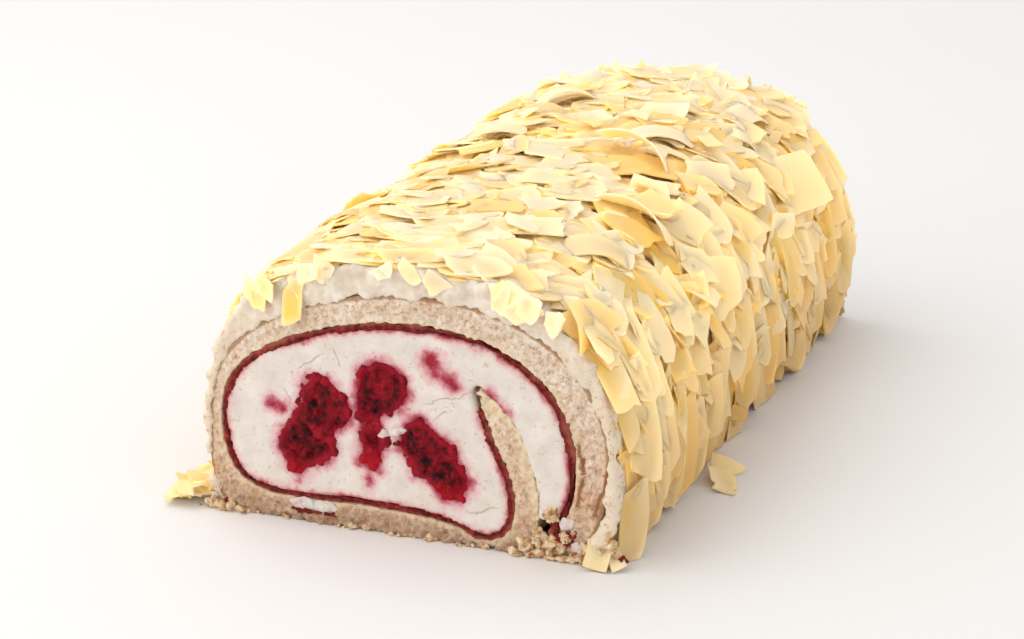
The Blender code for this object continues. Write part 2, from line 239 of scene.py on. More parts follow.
def cut_ends(node, depth, voxel, shape, studs=None, closing=CLOSE_GAP, swell=0.0):
    """A layer's two ends, finely meshed and given their shape, with the plain stretch between."""
    front = slice_of(node, f"{node}_front", FRONT_Y - OVERRUN, FRONT_Y + depth)
    back = slice_of(node, f"{node}_back", BACK_Y - depth, BACK_Y + OVERRUN)
    middle = slice_of(node, f"{node}_middle", FRONT_Y + depth * 0.98, BACK_Y - depth * 0.98)
    for end, station in ((front, FRONT_Y), (back, BACK_Y)):
        if studs:
            end = join([end, studs(node, station)], end.name)
        # A layer thinner than the voxels would get holes, so it is swollen first.
        if swell:
            apply(end, "DISPLACE", strength=swell, mid_level=0.0)
        apply(end, "REMESH", mode="VOXEL", voxel_size=voxel)
        # The frame keeps a hair's gap between layers, which real layers don't have.
        apply(end, "DISPLACE", strength=closing, mid_level=0.0)
        shape(end)
    return join([front, middle, back], f"{node}_layer")


def search_tree(*nodes):
    """The surface of some of the frame's nodes, for finding how far a place is from it."""
    points, faces = [], []
    for node in nodes:
        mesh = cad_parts[node].data
        faces += [[len(points) + v for v in face.vertices] for face in mesh.polygons]
        points += [v.co for v in mesh.vertices]
    return BVHTree.FromPolygons(points, faces)


def store(piece, name, values):
    piece.data.attributes.new(name, "FLOAT", "POINT").data.foreach_set("value", values)


def dress(piece, material, node):
    """Stands a finished piece on the table and gives it its material and its place in the frame."""
    for vert in piece.data.vertices:
        vert.co.z = max(vert.co.z, 0)
    piece.data.materials.clear()
    piece.data.materials.append(material)
    only(piece)
    bpy.ops.object.shade_smooth()
    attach(piece, "root")
    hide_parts(node)
    print(f"{piece.name}: {triangles(piece)} triangles")


def section_places(piece):
    """Each point's place on the cut, in millimetres: x from the roll's middle, and z."""
    return np.array([((v.co.x - MIDDLE_X) / MM, v.co.z / MM) for v in piece.data.vertices])


def beside(places, begin, end):
    """How far each place is to the side of a line, along it from its middle, and from it."""
    begin, end = np.array(begin), np.array(end)
    along = (end - begin) / np.linalg.norm(end - begin)
    sideways = np.array([-along[1], along[0]])
    offset = places - (begin + end) / 2
    a, b = offset @ along, offset @ sideways
    beyond = np.maximum(np.abs(a) - np.linalg.norm(end - begin) / 2, 0)
    return b, a / np.linalg.norm(end - begin), np.hypot(beyond, b)


def store_lines(piece, name, lines):
    """Stores on each point how far it is to the side of the nearest line, and how far along it."""
    places = section_places(piece)
    found = [beside(places, *line) for line in lines]
    closest = np.argmin([line[2] for line in found], axis=0)
    for suffix, k in (("side", 0), ("along", 1)):
        store(piece, f"{name}_{suffix}", np.choose(closest, [line[k] for line in found]))


jam_surface = search_tree("jam")
cream_surface = search_tree("cream_filling")
berry_surface = search_tree("berries_left", "berries_middle", "berries_right")
coat_surface = search_tree("cream_coat")

# %% [markdown]
# ## The sponge
#
# A whisked sponge is a foam: where the knife passed, thousands of bubbles lie open, and crumbs
# stand up between them. A Voronoi pattern makes good bubbles, because its cells are round and of
# unlike size, and a finer cloud pattern tears their rims. Towards the coat the foam ends in a thin
# baked skin, so each point keeps its distance from the coat, and the material reads it.

# %% Shape the sponge
bubbles = texture("VORONOI", 1.9 * MM, distance_metric="DISTANCE", noise_intensity=1.0)
crumbs = texture("CLOUDS", 0.8 * MM, noise_depth=2)
waves = texture("CLOUDS", 9 * MM, noise_depth=1)


def shape_sponge(end):
    # Under the coat the sponge stays smooth, so that nothing pokes through the thin cream, and it
    # is calmer beside the jam too.
    inside = end.vertex_groups.new(name="inside")
    for vert in end.data.vertices:
        calm = coat_surface.find_nearest(vert.co)[3] / 2.5, 0.3 * MM + jam_surface.find_nearest(vert.co)[3] / 2.0
        inside.add([vert.index], min(*calm, 1.0 * MM) / MM, "REPLACE")
    roughen(end, waves, 0.8 * MM, group="inside")
    roughen(end, bubbles, 1.9 * MM, 0.62, group="inside")
    roughen(end, crumbs, 1.3 * MM, group="inside")


sponge = cut_ends("sponge", 3 * MM, 0.45 * MM, shape_sponge)
for name, surface in (("from_coat", coat_surface), ("from_jam", jam_surface), ("from_cream", cream_surface)):
    store(sponge, name, [surface.find_nearest(v.co)[3] / MM for v in sponge.data.vertices])
# Where the sheet folded as it was rolled, its baked skin shows as brown lines within the crumb.
SKINS = [((43.6, 30.0), (44.6, 21.5)), ((44.6, 22.0), (42.6, 12.5)), ((50.8, 26.0), (49.4, 18.5)), ((49.6, 19.0), (46.8, 11.0))]
store_lines(sponge, "skin", SKINS)


# %% Bake colours of the sponge
def ramp(material, factor, *stops):
    """A colour ramp. Each stop is a position and a hex colour."""
    node = add_node(material, "ValToRGB", Fac=factor)
    elements = node.color_ramp.elements
    while len(elements) < len(stops):
        elements.new(0.5)
    for element, (position, colour) in zip(elements, stops):
        element.position = position
        element.color = linear(colour)
    return node.outputs["Color"]


def mix(material, factor, first, second, blend="MIX"):
    return add_node(material, "MixRGB", {"blend_type": blend}, Fac=factor, Color1=first, Color2=second).outputs["Color"]


def link(material, output, socket):
    material.node_tree.links.new(output, material.node_tree.nodes["Principled BSDF"].inputs[socket])


def bump(material, height, depth, strength=1.0):
    node = add_node(material, "Bump", Strength=strength, Distance=depth, Height=height)
    link(material, node.outputs["Normal"], "Normal")


def speckle(material, size, detail=3.0, roughness=0.6):
    """Noise on Object coordinates, whose blotches are about size metres."""
    place = add_node(material, "TexCoord").outputs["Object"]
    return add_node(
        material, "TexNoise", Vector=place, Scale=0.5 / size, Detail=detail, Roughness=roughness
    ).outputs["Fac"]


def attribute(material, name):
    return add_node(material, "Attribute", {"attribute_name": name}).outputs["Fac"]


def calculate(material, operation, first, second):
    return add_node(material, "Math", {"operation": operation}, _0=first, _1=second).outputs["Value"]


def height_of(material):
    return add_node(material, "SeparateXYZ", Vector=add_node(material, "TexCoord").outputs["Object"]).outputs["Z"]


def drawn_line(material, name, width, wiggle):
    """Where the lines stored under a name show: at most this wide, straying by the wiggle."""
    stray = calculate(material, "MULTIPLY", calculate(material, "SUBTRACT", speckle(material, 2 * MM, 4.0), 0.5), wiggle)
    side = calculate(material, "ABSOLUTE", calculate(material, "ADD", attribute(material, f"{name}_side"), stray), 0.0)
    along = calculate(material, "ABSOLUTE", attribute(material, f"{name}_along"), 0.0)
    thin = add_node(material, "MapRange", Value=side, From_Min=width, From_Max=width * 0.3).outputs["Result"]
    short = add_node(material, "MapRange", Value=along, From_Min=0.5, From_Max=0.35).outputs["Result"]
    return calculate(material, "MULTIPLY", thin, short)


def stain(material, distance, reach, ground, deep, pale):
    """Colours a ground near something: deep at its edge, paler to its reach in millimetres."""
    wander = calculate(material, "MULTIPLY", speckle(material, 2 * MM, 4.0), 2.2 * reach)
    far = calculate(material, "DIVIDE", calculate(material, "ADD", distance, wander), 3.0 * reach)
    outer = add_node(material, "MapRange", Value=far, From_Min=0.8, From_Max=0.38).outputs["Result"]
    inner = add_node(material, "MapRange", Value=far, From_Min=0.6, From_Max=0.34).outputs["Result"]
    return mix(material, inner, mix(material, outer, ground, linear(pale)), linear(deep))


sponge_crumb, _ = new_material(
    "whisked_sponge", Roughness=0.9, Specular_IOR_Level=0.2, Subsurface_Weight=0.3, Subsurface_Scale=0.0015
)
foam = ramp(
    sponge_crumb, speckle(sponge_crumb, 0.55 * MM, 4.0, 0.75),
    (0.27, "#8E6A4C"), (0.36, "#CFB092"), (0.48, "#F4E4D0"), (0.64, "#FFF8EE"),
)
bake = ramp(sponge_crumb, speckle(sponge_crumb, 3 * MM, 4.0), (0.3, "#E6CDB4"), (0.6, "#FFFBF8"))
foam = mix(sponge_crumb, 0.8, foam, bake, "MULTIPLY")
# Painted shade: the sheet is painted a little darker towards its foot, where it stands on the table.
foot_shade = ramp(sponge_crumb, calculate(
    sponge_crumb, "MULTIPLY", height_of(sponge_crumb), 1 / (70 * MM)
), (0.0, "#C8B6A6"), (0.05, "#D8C8BA"), (0.1, "#EADBCE"), (0.25, "#F4E8DE"), (0.6, "#FFFFFF"))
foam = mix(sponge_crumb, 1.0, foam, foot_shade, "MULTIPLY")
# Where the sponge lies straight on the filling it has soaked up cream.
soaked = add_node(
    sponge_crumb, "MapRange", Value=calculate(
        sponge_crumb, "ADD", attribute(sponge_crumb, "from_cream"),
        calculate(sponge_crumb, "MULTIPLY", speckle(sponge_crumb, 1.5 * MM, 4.0), 3.0),
    ), From_Min=5.4, From_Max=2.4,
).outputs["Result"]
foam = mix(sponge_crumb, calculate(sponge_crumb, "MULTIPLY", soaked, 0.8), foam, linear("#F8E2BC"))
foam = stain(sponge_crumb, attribute(sponge_crumb, "from_jam"), 0.55, foam, "#9A4C3C", "#CF9A86")
skin = add_node(
    sponge_crumb, "MapRange", Value=calculate(
        sponge_crumb, "ADD", attribute(sponge_crumb, "from_coat"), speckle(sponge_crumb, 1.2 * MM, 4.0)
    ), From_Min=1.75, From_Max=1.25,
).outputs["Result"]
foam = mix(sponge_crumb, calculate(sponge_crumb, "MULTIPLY", skin, 0.75), foam, linear("#A0703C"))
folded = calculate(sponge_crumb, "MULTIPLY", drawn_line(sponge_crumb, "skin", 0.85, 3.0), 0.85)
foam = mix(sponge_crumb, folded, foam, linear("#94561F"))
link(sponge_crumb, foam, "Base Color")
bump(sponge_crumb, speckle(sponge_crumb, 0.35 * MM, 4.0), 0.4 * MM, 0.8)
dress(sponge, sponge_crumb, "sponge")

# %% [markdown]
# ## The jam
#
# A thin sheet of dark jam soaked into the sponge. At the cut the knife drags it a little, so its
# edge wavers and its thickness changes.

# %% Spread the jam
drag = texture("CLOUDS", 1.8 * MM, noise_depth=2)


def shape_jam(end):
    roughen(end, waves, 2.4 * MM, 0.55)
    roughen(end, drag, 0.8 * MM)


jam = cut_ends("jam", 3 * MM, 0.4 * MM, shape_jam, closing=0.3 * MM)
red_jam, _ = new_material(
    "berry_jam", Roughness=0.45, Specular_IOR_Level=0.15, Subsurface_Weight=0.15, Subsurface_Scale=0.0008
)
spread = ramp(red_jam, speckle(red_jam, 1.0 * MM), (0.35, "#4E0D08"), (0.52, "#741612"), (0.70, "#A03430"))
# Its outer edge has soaked into the crumb.
store(jam, "from_cream", [cream_surface.find_nearest(v.co)[3] / MM for v in jam.data.vertices])
crumbed = add_node(
    red_jam, "MapRange", Value=calculate(
        red_jam, "ADD", attribute(red_jam, "from_cream"),
        calculate(red_jam, "MULTIPLY", speckle(red_jam, 0.9 * MM, 4.0), 2.0),
    ), From_Min=2.1, From_Max=2.9,
).outputs["Result"]
link(red_jam, mix(red_jam, calculate(red_jam, "MULTIPLY", crumbed, 0.75), spread, linear("#A8604C")), "Base Color")
bump(red_jam, speckle(red_jam, 0.4 * MM), 0.3 * MM, 0.6)
dress(jam, red_jam, "jam")

# %% [markdown]
# ## The berries
#
# Frozen berries were laid in three lines, and the knife went through them. What shows is a mass of
# drupelets, the little juicy beads that a raspberry is built of, some cut open and some torn out.
# Beads are scattered over each cut line of berries, and a voxel remesh melts them into one mass.

# %% Crush the berries
chance = random.Random(31)
BEAD_SPACING = 1.9 * MM


def beads(node, station):
    """Drupelets over the cut end of a line of berries."""
    outline = search_tree(node)
    low, high = (Vector(corner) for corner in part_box(node))
    inwards = 1 if station < 0 else -1
    bpy.ops.mesh.primitive_ico_sphere_add(subdivisions=2, radius=1.0)
    bead = bpy.context.object
    copies = []
    count = round((high.x - low.x) * (high.z - low.z) / BEAD_SPACING**2 * 1.6)
    for _ in range(count):
        place = Vector((chance.uniform(low.x, high.x), station + inwards * 2 * MM, chance.uniform(low.z, high.z)))
        nearest, normal, _, distance = outline.find_nearest(place)
        radius = chance.uniform(0.6, 1.4) * MM
        if (place - nearest).dot(normal) > 0.7 * MM:
            continue
        place.y = station + inwards * chance.uniform(-0.2, 1.6) * MM
        copy = bead.copy()
        copy.data = bead.data.copy()
        stretch = Matrix.Diagonal((radius, radius * chance.uniform(0.8, 1.2), radius * chance.uniform(0.8, 1.3), 1))
        copy.data.transform(Matrix.Translation(place) @ stretch)
        bpy.context.collection.objects.link(copy)
        copies.append(copy)
    bpy.data.objects.remove(bead)
    return join(copies, f"{node}_beads")


torn = texture("VORONOI", 3.0 * MM, distance_metric="DISTANCE")


def shape_berries(end):
    roughen(end, torn, 1.7 * MM, 0.5)
    roughen(end, crumbs, 0.6 * MM)


berry_flesh, _ = new_material(
    "crushed_berries", Roughness=0.35, Specular_IOR_Level=0.12, Subsurface_Weight=0.3, Subsurface_Scale=0.0012
)
flesh = ramp(
    berry_flesh, speckle(berry_flesh, 1.6 * MM, 5.0, 0.7),
    (0.36, "#0E0103"), (0.44, "#48040E"), (0.53, "#7C0614"), (0.65, "#9E1024"), (0.80, "#C43E56"),
)
# Towards their edge the berries are thin and wet, and the light comes through.
rim = add_node(berry_flesh, "MapRange", Value=calculate(
    berry_flesh, "ADD", attribute(berry_flesh, "from_edge"), speckle(berry_flesh, 3 * MM)
), From_Min=1.9, From_Max=0.7).outputs["Result"]
flesh = mix(berry_flesh, calculate(berry_flesh, "MULTIPLY", rim, 0.6), flesh, linear("#B0142C"))
# Towards the bottom of each line the berries are a brighter red.
red_bottom = add_node(berry_flesh, "MapRange", Value=calculate(
    berry_flesh, "ADD", attribute(berry_flesh, "from_bottom"), calculate(
        berry_flesh, "MULTIPLY", speckle(berry_flesh, 2 * MM, 4.0), 8.0
    )
), From_Min=9.5, From_Max=5.0).outputs["Result"]
flesh = mix(berry_flesh, calculate(berry_flesh, "MULTIPLY", red_bottom, 0.75), flesh, linear("#B80E1C"))
link(berry_flesh, flesh, "Base Color")
bump(berry_flesh, speckle(berry_flesh, 0.5 * MM, 4.0), 0.5 * MM, 0.8)
for node in ("berries_left", "berries_middle", "berries_right"):
    line = cut_ends(node, 6 * MM, 0.45 * MM, shape_berries, beads)
    outline = search_tree(node)
    store(line, "from_edge", [outline.find_nearest(v.co * Vector((1, 0.95, 1)))[3] / MM for v in line.data.vertices])
    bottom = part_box(node)[0][2]
    store(line, "from_bottom", [(v.co.z - bottom) / MM for v in line.data.vertices])
    dress(line, berry_flesh, node)

# %% [markdown]
# ## The whipped cream
#
# Cream that was set cold and then cut: nearly flat, with a fine grain, a few cracks where the
# knife pulled it, and a pink bleed round everything red. How far each point lies from the jam and
# from the berries is stored on the mesh, and the material turns those distances into stains. The
# cracks are stored in the same way, as a distance to the side of a line and one along it, because
# a shader can draw a line much thinner than the mesh's faces from two such numbers.

# %% Fill with cream
grain = texture("CLOUDS", 1.4 * MM, noise_depth=2)
swell = texture("CLOUDS", 12 * MM, noise_depth=1)

# Smears of berry juice: where each begins and ends on the cut, and how wide it is.
SMEARS = [((7.7, 45.0), (9.6, 42.4), 1.2), ((10.2, 41.8), (13.4, 39.2), 0.5), ((-33.6, 29.2), (-30.4, 28.0), 0.5),
          ((21.9, 37.8), (25.0, 33.6), 0.3), ((-9.0, 13.0), (-8.7, 12.2), 0.2), ((13.2, 16.0), (16.8, 16.6), 0.2)]
# Cracks: where each begins and ends.
CRACKS = [((5.0, 33.6), (18.0, 38.4)), ((-26.5, 38.0), (-19.2, 43.8)), ((-17.0, 44.8), (-14.4, 40.4)),
          ((-29.6, 33.6), (-28.0, 27.8)), ((24.0, 11.0), (16.0, 8.5)), ((8.0, 31.0), (12.0, 32.5))]


def shape_cream(end):
    roughen(end, swell, 0.9 * MM)
    roughen(end, grain, 0.35 * MM)
    roughen(end, crumbs, 0.2 * MM)


cream = cut_ends("cream_filling", 3 * MM, 0.5 * MM, shape_cream, closing=0.55 * MM)
places = section_places(cream)
from_berries = np.array([berry_surface.find_nearest(v.co)[3] / MM for v in cream.data.vertices])
for begin, end, width in SMEARS:
    from_berries = np.minimum(from_berries, np.maximum(beside(places, begin, end)[2] - width, 0) + 0.1)
store(cream, "from_berries", from_berries)
store(cream, "from_jam", [jam_surface.find_nearest(v.co)[3] / MM for v in cream.data.vertices])
store_lines(cream, "crack", CRACKS)

# %% Colour the cream
whipped_cream, _ = new_material(
    "whipped_cream", Roughness=0.6, Specular_IOR_Level=0.3, Subsurface_Weight=0.3, Subsurface_Scale=0.002
)
body = ramp(whipped_cream, speckle(whipped_cream, 3 * MM), (0.3, "#E2D5CA"), (0.65, "#EFE5DC"))
# Painted shade in small pits: fine darker specks over the cream.
pit_shade = ramp(whipped_cream, speckle(whipped_cream, 0.5 * MM, 3.0), (0.30, "#E0CDB6"), (0.38, "#FFFFFF"))
body = mix(whipped_cream, 0.8, body, pit_shade, "MULTIPLY")
# The cracks are drawn as darker lines, a painted shade in them.
crack = drawn_line(whipped_cream, "crack", 0.22, 4.0)
body = mix(whipped_cream, calculate(whipped_cream, "MULTIPLY", crack, 0.6), body, linear("#BCA388"))
body = stain(whipped_cream, attribute(whipped_cream, "from_jam"), 1.5, body, "#A83040", "#EBB2B0")
body = stain(whipped_cream, attribute(whipped_cream, "from_berries"), 2.6, body, "#A0142C", "#E28C9C")
link(whipped_cream, body, "Base Color")
bump(whipped_cream, calculate(
    whipped_cream, "SUBTRACT", speckle(whipped_cream, 0.8 * MM, 4.0), crack
), 0.3 * MM, 0.6)
dress(cream, whipped_cream, "cream_filling")

# %% [markdown]
# ## The coat of cream
#
# The same cream, spread over the roll with a palette knife. It shows as a thick pale rim at the
# cut and through the gaps between the shavings.

# %% Spread the coat
strokes = texture("CLOUDS", 5 * MM, noise_depth=2)


def shape_coat(end):
    roughen(end, strokes, 3.4 * MM, 0.42)
    roughen(end, grain, 1.1 * MM, 0.45)


coat = cut_ends("cream_coat", 10 * MM, 0.6 * MM, shape_coat, closing=0.02 * MM, swell=0.45 * MM)
coat_cream, _ = new_material(
    "coating_cream", Roughness=0.6, Specular_IOR_Level=0.3, Subsurface_Weight=0.3, Subsurface_Scale=0.002
)
spread = ramp(coat_cream, speckle(coat_cream, 2.5 * MM), (0.3, "#DCC8B0"), (0.5, "#F0E2D0"), (0.68, "#FDF4E8"))
# Lower down the coat is full of crumbs that the palette knife dragged along.
dirty = add_node(coat_cream, "MapRange", Value=calculate(
    coat_cream, "ADD", height_of(coat_cream), calculate(coat_cream, "MULTIPLY", speckle(coat_cream, 2 * MM, 4.0), 30 * MM)
), From_Min=76 * MM, From_Max=56 * MM).outputs["Result"]
crumby = ramp(
    coat_cream, speckle(coat_cream, 0.55 * MM, 4.0, 0.75), (0.25, "#8E6540"), (0.34, "#CFAA84"), (0.46, "#F0DEC6")
)
link(coat_cream, mix(coat_cream, dirty, spread, crumby), "Base Color")
bump(coat_cream, speckle(coat_cream, 0.9 * MM, 4.0), 0.4 * MM, 0.5)
dress(coat, coat_cream, "cream_coat")

# %% [markdown]
# ## Bits on the cut
#
# The knife left things lying on the cut: a slab of cream pressed out at the bottom, crumbs and
# jam where the end of the sheet meets the roll, a bit of cream between the berries, and crumbs
# along the foot of both cuts. Each is a small ball, flattened, torn by a displacement and pressed
# into the cut.

# %% Scatter bits on the cut
chance = random.Random(12)
torn = texture("CLOUDS", 1.1 * MM, noise_depth=2)


def lump(x, z, width, height, cut=FRONT_Y, bulge=0.8, turn=0.0, detail=3, tear=1.3):
    """A bit of food on a cut: its middle and sizes in millimetres, its turn in degrees."""
    bpy.ops.mesh.primitive_ico_sphere_add(subdivisions=detail, radius=0.5)
    bit = bpy.context.object
    outside = 1 if cut > 0 else -1
    size = Matrix.Diagonal((width * MM, 2 * bulge * MM, height * MM, 1))
    place = Vector((MIDDLE_X + x * MM, cut + outside * (bulge * 0.35) * MM, max(z, height * 0.42) * MM))
    bit.data.transform(Matrix.Translation(place) @ Matrix.Rotation(math.radians(turn), 4, "Y") @ size)
    roughen(bit, torn, tear * min(width, height, 2 * bulge) * MM)
    return bit


def foot_crumbs(cut, count):
    """Crumbs fallen along the foot of a cut."""
    outside = 1 if cut > 0 else -1
    made = []
    for _ in range(count):
        size = 0.6 + 1.6 * chance.random() ** 3
        x = chance.choice((chance.uniform(-50, 52), chance.gauss(38, 5), chance.gauss(-46, 3)))
        crumb = lump(
            x, size * chance.uniform(0.2, 0.8), size * chance.uniform(1.0, 2.2), size, cut, size * 0.5,
            chance.uniform(-20, 20), 2, 1.4
        )
        crumb.data.transform(Matrix.Translation((0, outside * chance.uniform(-0.2, 1.0) * MM, 0)))
        made.append(crumb)
    return made


def cluster(x, z, width, height, cut, count):
    """Crumbs that stick together."""
    return [
        lump(
            x + chance.gauss(0, width / 4), z + chance.gauss(0, height / 4), chance.uniform(1.6, 3.4),
            chance.uniform(1.4, 3.0), cut, chance.uniform(0.6, 1.3), chance.uniform(0, 180)
        ) for _ in range(count)
    ]


cream_bits = join([
    lump(-26, 4.7, 7, 3.0, bulge=0.7, turn=2), lump(-21, 4.5, 8, 2.8, bulge=0.7, turn=-2),
    lump(-4.0, 25.4, 3.6, 3.0, bulge=0.9, turn=20), lump(-1.4, 26.6, 4.2, 2.6, bulge=0.9, turn=-10),
    lump(40.5, 9.4, 4.0, 2.4, bulge=0.8, turn=-20), lump(43, 4.0, 3.2, 2.4, bulge=0.8, turn=10),
    lump(-26, 4.7, 7, 3.0, BACK_Y, 0.7, 2), lump(-21, 4.5, 8, 2.8, BACK_Y, 0.7, -2),
    lump(39.5, 11, 3.0, 4.0, BACK_Y, 0.8, 30),
], "cream_bits")
for name, value in (("from_berries", 9.0), ("from_jam", 1.6), ("crack_side", 9.0), ("crack_along", 9.0)):
    store(cream_bits, name, [value] * len(cream_bits.data.vertices))
dress(cream_bits, whipped_cream, "cream_filling")

jam_bits = join([
    lump(-1.4, 23.4, 2.6, 1.8, bulge=0.7, turn=-20), lump(-26, 3.0, 7, 1.5, bulge=0.5), lump(-20.5, 3.0, 7, 1.4, bulge=0.5, turn=3),
    lump(39.4, 5.4, 4.4, 2.4, bulge=0.9, turn=35), lump(37.6, 8.8, 2.0, 2.6, bulge=0.9), lump(41.6, 7.0, 2.6, 1.6, bulge=0.8),
    lump(-46.1, 2.3, 2.0, 1.6, bulge=0.6), lump(-44.6, 1.6, 1.2, 1.0, bulge=0.5), lump(54.2, 2.6, 2.2, 1.6, bulge=0.7),
    lump(39.5, 6.0, 4.0, 2.6, BACK_Y, 0.9, 35), lump(-22, 3.0, 10, 1.4, BACK_Y, 0.5),
], "jam_bits")
dress(jam_bits, red_jam, "jam")

crumb_bits = []
for cut in (FRONT_Y, BACK_Y):
    crumb_bits += foot_crumbs(cut, 80) + cluster(38, 4, 6, 7, cut, 12) + cluster(36.8, 10.5, 2, 5, cut, 6)
    crumb_bits += cluster(33.5, 5.2, 1.5, 3, cut, 6) + cluster(31, 2.4, 2.5, 1.5, cut, 6)
    crumb_bits += cluster(46, 3, 10, 5, cut, 12) + cluster(51, 3, 5, 4, cut, 8) + cluster(-49, 2, 6, 3, cut, 8)
crumb_bits = join(crumb_bits, "crumb_bits")
loose_crumb, _ = new_material("loose_crumbs", Roughness=0.9, Specular_IOR_Level=0.2)
link(loose_crumb, ramp(
    loose_crumb, speckle(loose_crumb, 0.8 * MM, 4.0, 0.7), (0.32, "#8E5A34"), (0.46, "#D2AA7C"), (0.62, "#F6E2C0")
), "Base Color")
dress(crumb_bits, loose_crumb, "sponge")
print("bits on the cuts:", {piece.name: triangles(piece) for piece in (cream_bits, jam_bits, crumb_bits)}, "triangles")

# %% [markdown]
# ## The shavings
#
# White chocolate scraped off a block with a blade comes away in thin plates, a little hollow like
# a gutter, with straight sides and torn ends. They were pressed on by the handful: on the walls
# they hang like shingles, on top they lie every way, and some stand up. The easiest way to lay so
# many on a curved cake is to unroll its coat, as one unrolls a map: a place on the coat is then a
# walk over it from the right foot, a station along the roll, and a height. A few flat plates are
# modelled with ragged outlines and a real thickness. Every shaving is a copy of one of them, cut
# to its own size, bent in its own way, laid on the flat map, and rolled up with it.

# %% Unroll the coat
HEART = Vector((MIDDLE_X, 0, 24 * MM))
RIGHT_FOOT, LEFT_FOOT = math.radians(-25.5), math.radians(204.5)


heap_surface = search_tree("chocolate_shavings")
ANGLES = np.linspace(RIGHT_FOOT, LEFT_FOOT, 120)
STATIONS = np.linspace(FRONT_Y * 0.985, BACK_Y * 0.985, 60)


def reach(surface, angle, station):
    """How far from the cake's heart a surface is, seen from outside at an angle and a station."""
    ray = Vector((math.cos(angle), 0, math.sin(angle)))
    hit = surface.ray_cast(HEART + Vector((0, station, 0)) + ray * 0.2, -ray)
    return 0.0 if hit[0] is None else 0.2 - hit[3]


coat_reach = np.array([[reach(coat_surface, angle, station) for station in STATIONS] for angle in ANGLES])
heap_reach = np.array([[reach(heap_surface, angle, station) for station in STATIONS] for angle in ANGLES])
heap_reach = np.maximum(coat_reach, heap_reach)
middle_reach = coat_reach.mean(axis=1)
for _ in range(3):
    middle_reach[1:-1] = (middle_reach[:-2] + 2 * middle_reach[1:-1] + middle_reach[2:]) / 4
section = np.stack([HEART.x + middle_reach * np.cos(ANGLES), HEART.z + middle_reach * np.sin(ANGLES)], 1)
steps = np.gradient(section, axis=0)
outwards = np.stack([steps[:, 1], -steps[:, 0]], 1) / np.linalg.norm(steps, axis=1)[:, None]
walked = np.concatenate([[0], np.cumsum(np.linalg.norm(np.diff(section, axis=0), axis=1))])
GIRTH = walked[-1]
print("it is", round(GIRTH / MM), "mm over the coat from foot to foot")


def heights(reaches, walk, station):
    """How high a surface is over the middle of the coat, at walks and stations."""
    row = np.clip(np.interp(walk, walked, range(len(walked))), 0, len(walked) - 1.001)
    column = np.clip(np.interp(station, STATIONS, range(len(STATIONS))), 0, len(STATIONS) - 1.001)
    i, j = row.astype(int), column.astype(int)
    u, v = row - i, column - j
    over = reaches - middle_reach[:, None]
    near = over[i, j] * (1 - v) + over[i, j + 1] * v
    far = over[i + 1, j] * (1 - v) + over[i + 1, j + 1] * v
    return near * (1 - u) + far * u


def rolled_up(walk, station, height):
    """Places on the unrolled coat, each a walk, a station and a height, as points in space."""
    foot_x, foot_z, out_x, out_z = (np.interp(walk, walked, c) for c in (*section.T, *outwards.T))
    # A walk that goes past a foot goes on straight down.
    past = np.minimum(walk, 0) + np.minimum(GIRTH - walk, 0)
    return np.stack([foot_x + out_x * height, station, np.maximum(foot_z + out_z * height + past, 0.2 * MM)], 1)


# %% Cut flat plates of chocolate
PLATE_THICKNESS = 0.45 * MM


def ragged_plate(name, across, along, taper, tongue, slant, tear, seed):
    """A flat plate of unit length and width: straight sides, and torn ends cut off at a slant.

    The tongue is how round its downhill end is."""
    chip = random.Random(seed)
    bpy.ops.mesh.primitive_grid_add(x_subdivisions=across, y_subdivisions=along, size=1)
    plate = bpy.context.object
    plate.name = name
    slants = [slant * chip.uniform(-1, 1) for _ in range(2)]
    bend = chip.uniform(-0.2, 0.2)
    rims = []
    for vert in plate.data.vertices:
        x, y, _ = vert.co
        at_side, at_end = abs(x) > 0.49, abs(y) > 0.49
        y += abs(2 * y) * x * slants[y > 0] - tongue * max(y, 0) * (2 * x) ** 2
        x *= (1 - taper * (y + 0.5)) * (1 - tongue * max(2 * y, 0) ** 3)
        if at_side:
            x *= 1 + tear * chip.uniform(-0.6, 0.3)
        if at_end:
            y += tear * chip.uniform(-0.6, 0.4)
        vert.co.x, vert.co.y = x + bend * (y**2 - 0.1), y
        rims.append(float(at_side or at_end))
    store(plate, "rim", rims)
    apply(plate, "SOLIDIFY", thickness=1.0, offset=0.0)
    only(plate)
    bpy.ops.object.shade_smooth_by_angle(angle=math.radians(50))
    return plate


plates = {
    "slat": [ragged_plate(f"slat_{k}", 4, 6, 0.08 * (k % 4), 0.10 * (k % 3), 0.25, 0.05, 100 + k) for k in range(12)],
    "shard": [ragged_plate(f"shard_{k}", 4, 4, 0.15 * (k % 4), 0.08 * (k % 3), 0.4, 0.12, 200 + k) for k in range(12)],
    "curl": [ragged_plate(f"curl_{k}", 3, 9, 0.1 * (k % 3), 0.1, 0.2, 0.04, 400 + k) for k in range(5)],
    "chip": [ragged_plate(f"chip_{k}", 2, 2, 0.25 * (k % 3), 0.0, 0.4, 0.2, 300 + k) for k in range(6)],
}
print("plates of", {kind: len(made[0].data.polygons) for kind, made in plates.items()}, "faces each")


# %% Lay one shaving
def flat_points(plate, width, length):
    """How far each point of a plate is across it, along it and above it, at a width and a length."""
    points = np.empty(len(plate.data.vertices) * 3)
    plate.data.vertices.foreach_get("co", points)
    return points.reshape(-1, 3).T * np.array([[width], [length], [PLATE_THICKNESS]])


def new_flake(plate, places, **values):
    """A copy of a plate with its points at these places, and with what its material reads."""
    flake = bpy.data.objects.new("flake", plate.data.copy())
    bpy.context.collection.objects.link(flake)
    flake.data.vertices.foreach_set("co", places.astype(np.float32).ravel())
    for name, value in values.items():
        store(flake, name, np.broadcast_to(value, len(places)).astype(np.float32))
    return flake


